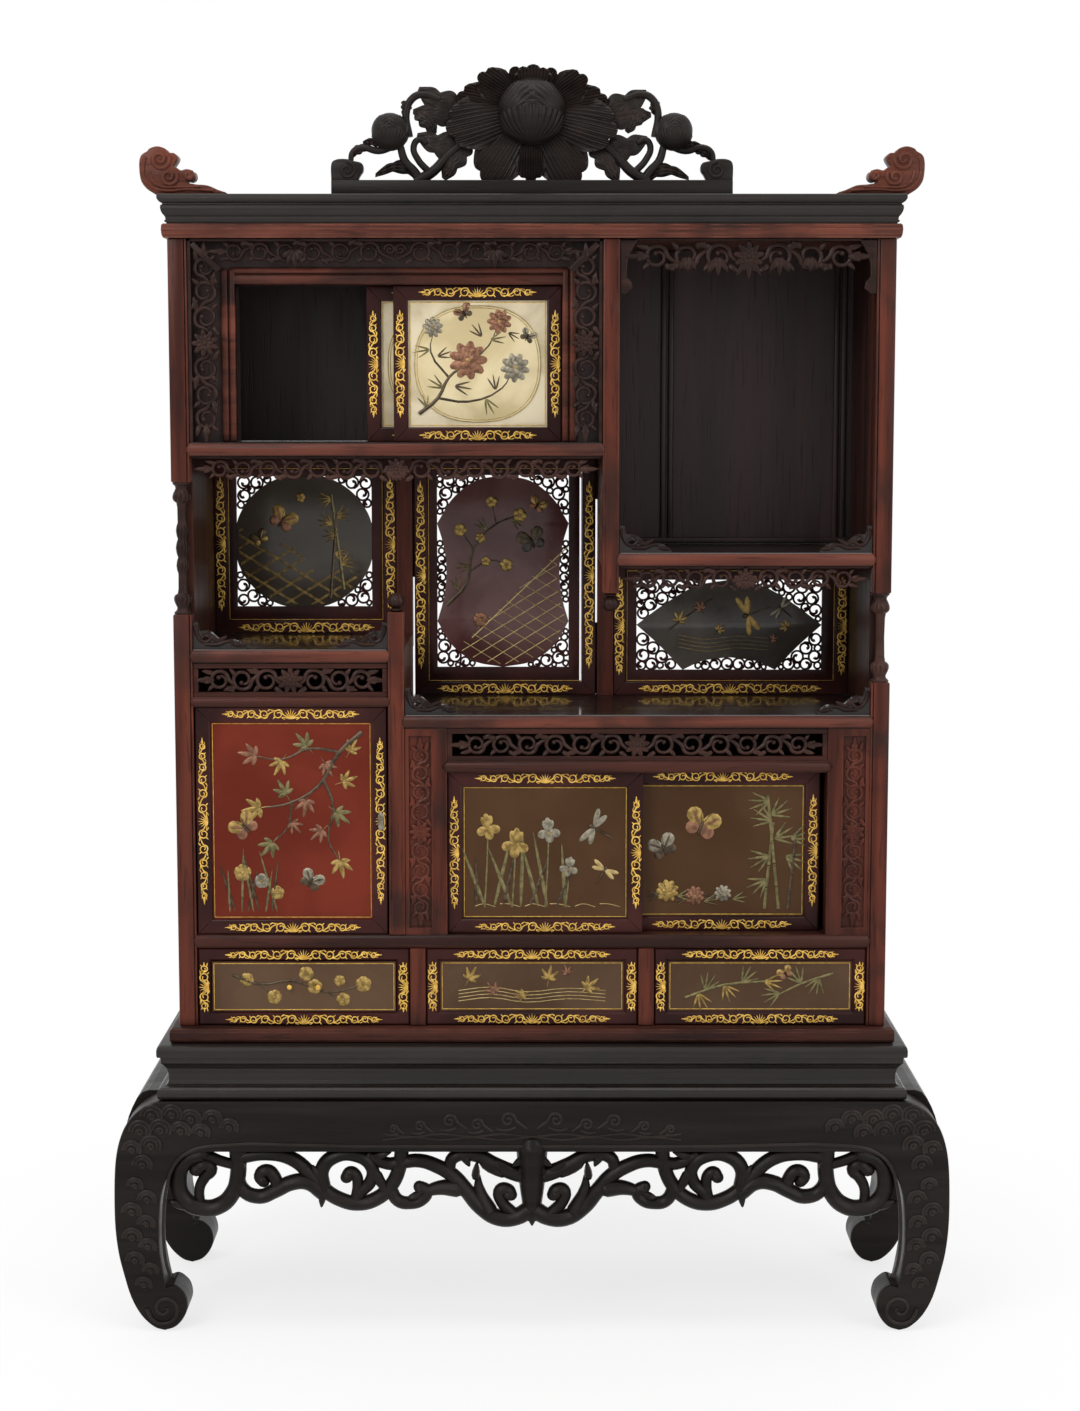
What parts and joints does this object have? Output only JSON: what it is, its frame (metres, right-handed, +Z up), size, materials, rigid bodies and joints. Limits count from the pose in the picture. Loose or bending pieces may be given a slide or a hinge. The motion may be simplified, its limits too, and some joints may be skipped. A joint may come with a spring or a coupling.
{
  "type": "display cabinet",
  "caption": "Tall asymmetrical display cabinet on a scroll-footed stand, with open niches, lacquered sliding doors, a hinged cupboard, drawers, fret work and a carved peony crest",
  "frame": {"origin": "on the floor, under the middle of the cabinet", "axes": "+X to the cabinet's right as seen from the front, +Y towards its back, +Z up; the front faces -Y"},
  "size_m": [1.4066, 0.42, 2.1076],
  "materials": {
    "hardwood": "oiled and polished reddish hardwood",
    "ebonised": "dark stained and waxed",
    "carved": "carved, dark stained",
    "dark_board": "dark polished board",
    "lacquer": "dark gloss lacquer with gold scrolls",
    "ivory_ground": "pale gilt ground under gloss lacquer",
    "red_lacquer": "red gloss lacquer",
    "olive_lacquer": "brown gloss lacquer",
    "brass": "polished",
    "dark_metal": "patinated"
  },
  "bodies": {
    "case": {"centre_frieze": "hardwood", "centre_lower_post": "hardwood", "centre_pierced_panel": "lacquer", "centre_shelf": "hardwood", "centre_upper_post": "hardwood", "cloud_finial_left": "hardwood", "cloud_finial_right": "hardwood", "cornice": "ebonised", "crest": "ebonised", "drawer_divider_left": "hardwood", "drawer_divider_right": "hardwood", "left_frieze": "hardwood", "left_pierced_panel": "lacquer", "left_pilaster": "hardwood", "left_post": "hardwood", "left_shelf": "hardwood", "left_side": "hardwood", "left_valance": "carved", "lower_back": "dark_board", "lower_partition": "hardwood", "middle_board": "hardwood", "niche_floor": "hardwood", "niche_fret": "carved", "plinth": "hardwood", "right_pierced_panel": "lacquer", "right_pilaster": "hardwood", "right_post": "hardwood", "right_side": "hardwood", "right_valance": "carved", "stand_back_apron": "ebonised", "stand_fret": "ebonised", "stand_front_apron": "ebonised", "stand_left_apron": "ebonised", "stand_leg_back_left": "ebonised", "stand_leg_back_right": "ebonised", "stand_leg_front_left": "ebonised", "stand_leg_front_right": "ebonised", "stand_right_apron": "ebonised", "stand_top": "ebonised", "upper_back": "dark_board", "upper_doorway": "hardwood", "upper_floor": "hardwood", "upper_fret": "carved", "upper_partition": "hardwood"},
    "upper_front_door": {"upper_front_door_frame": "lacquer", "upper_front_door_panel": "ivory_ground"},
    "upper_rear_door": {"upper_rear_door_frame": "lacquer", "upper_rear_door_panel": "ivory_ground"},
    "lower_left_door": {"lower_left_door_frame": "lacquer", "lower_left_door_panel": "olive_lacquer"},
    "lower_right_door": {"lower_right_door_frame": "lacquer", "lower_right_door_panel": "olive_lacquer"},
    "cupboard_door": {"cupboard_door_frame": "lacquer", "cupboard_door_panel": "red_lacquer", "cupboard_door_pull": "dark_metal"},
    "left_drawer": {"left_drawer": "olive_lacquer"},
    "centre_drawer": {"centre_drawer": "olive_lacquer"},
    "right_drawer": {"right_drawer": "olive_lacquer"}
  },
  "joints": [
    {"name": "upper_front_door_slide", "type": "slide", "parent": "case", "child": "upper_front_door", "axis": [1, 0, 0], "range_m": [-0.258, 0]},
    {"name": "upper_rear_door_slide", "type": "slide", "parent": "case", "child": "upper_rear_door", "axis": [1, 0, 0], "range_m": [-0.2125, 0.0455]},
    {"name": "lower_left_door_slide", "type": "slide", "parent": "case", "child": "lower_left_door", "axis": [1, 0, 0], "range_m": [0, 0.3065]},
    {"name": "lower_right_door_slide", "type": "slide", "parent": "case", "child": "lower_right_door", "axis": [1, 0, 0], "range_m": [-0.2985, 0.008]},
    {"name": "cupboard_door_hinge", "type": "hinge", "parent": "case", "child": "cupboard_door", "pos_m": [-0.5555, -0.161, 0.673], "axis": [0, 0, -1], "range_deg": [0, 100]},
    {"name": "left_drawer_slide", "type": "slide", "parent": "case", "child": "left_drawer", "axis": [0, -1, 0], "range_m": [0, 0.24]},
    {"name": "centre_drawer_slide", "type": "slide", "parent": "case", "child": "centre_drawer", "axis": [0, -1, 0], "range_m": [0, 0.24]},
    {"name": "right_drawer_slide", "type": "slide", "parent": "case", "child": "right_drawer", "axis": [0, -1, 0], "range_m": [0, 0.24]}
  ]
}
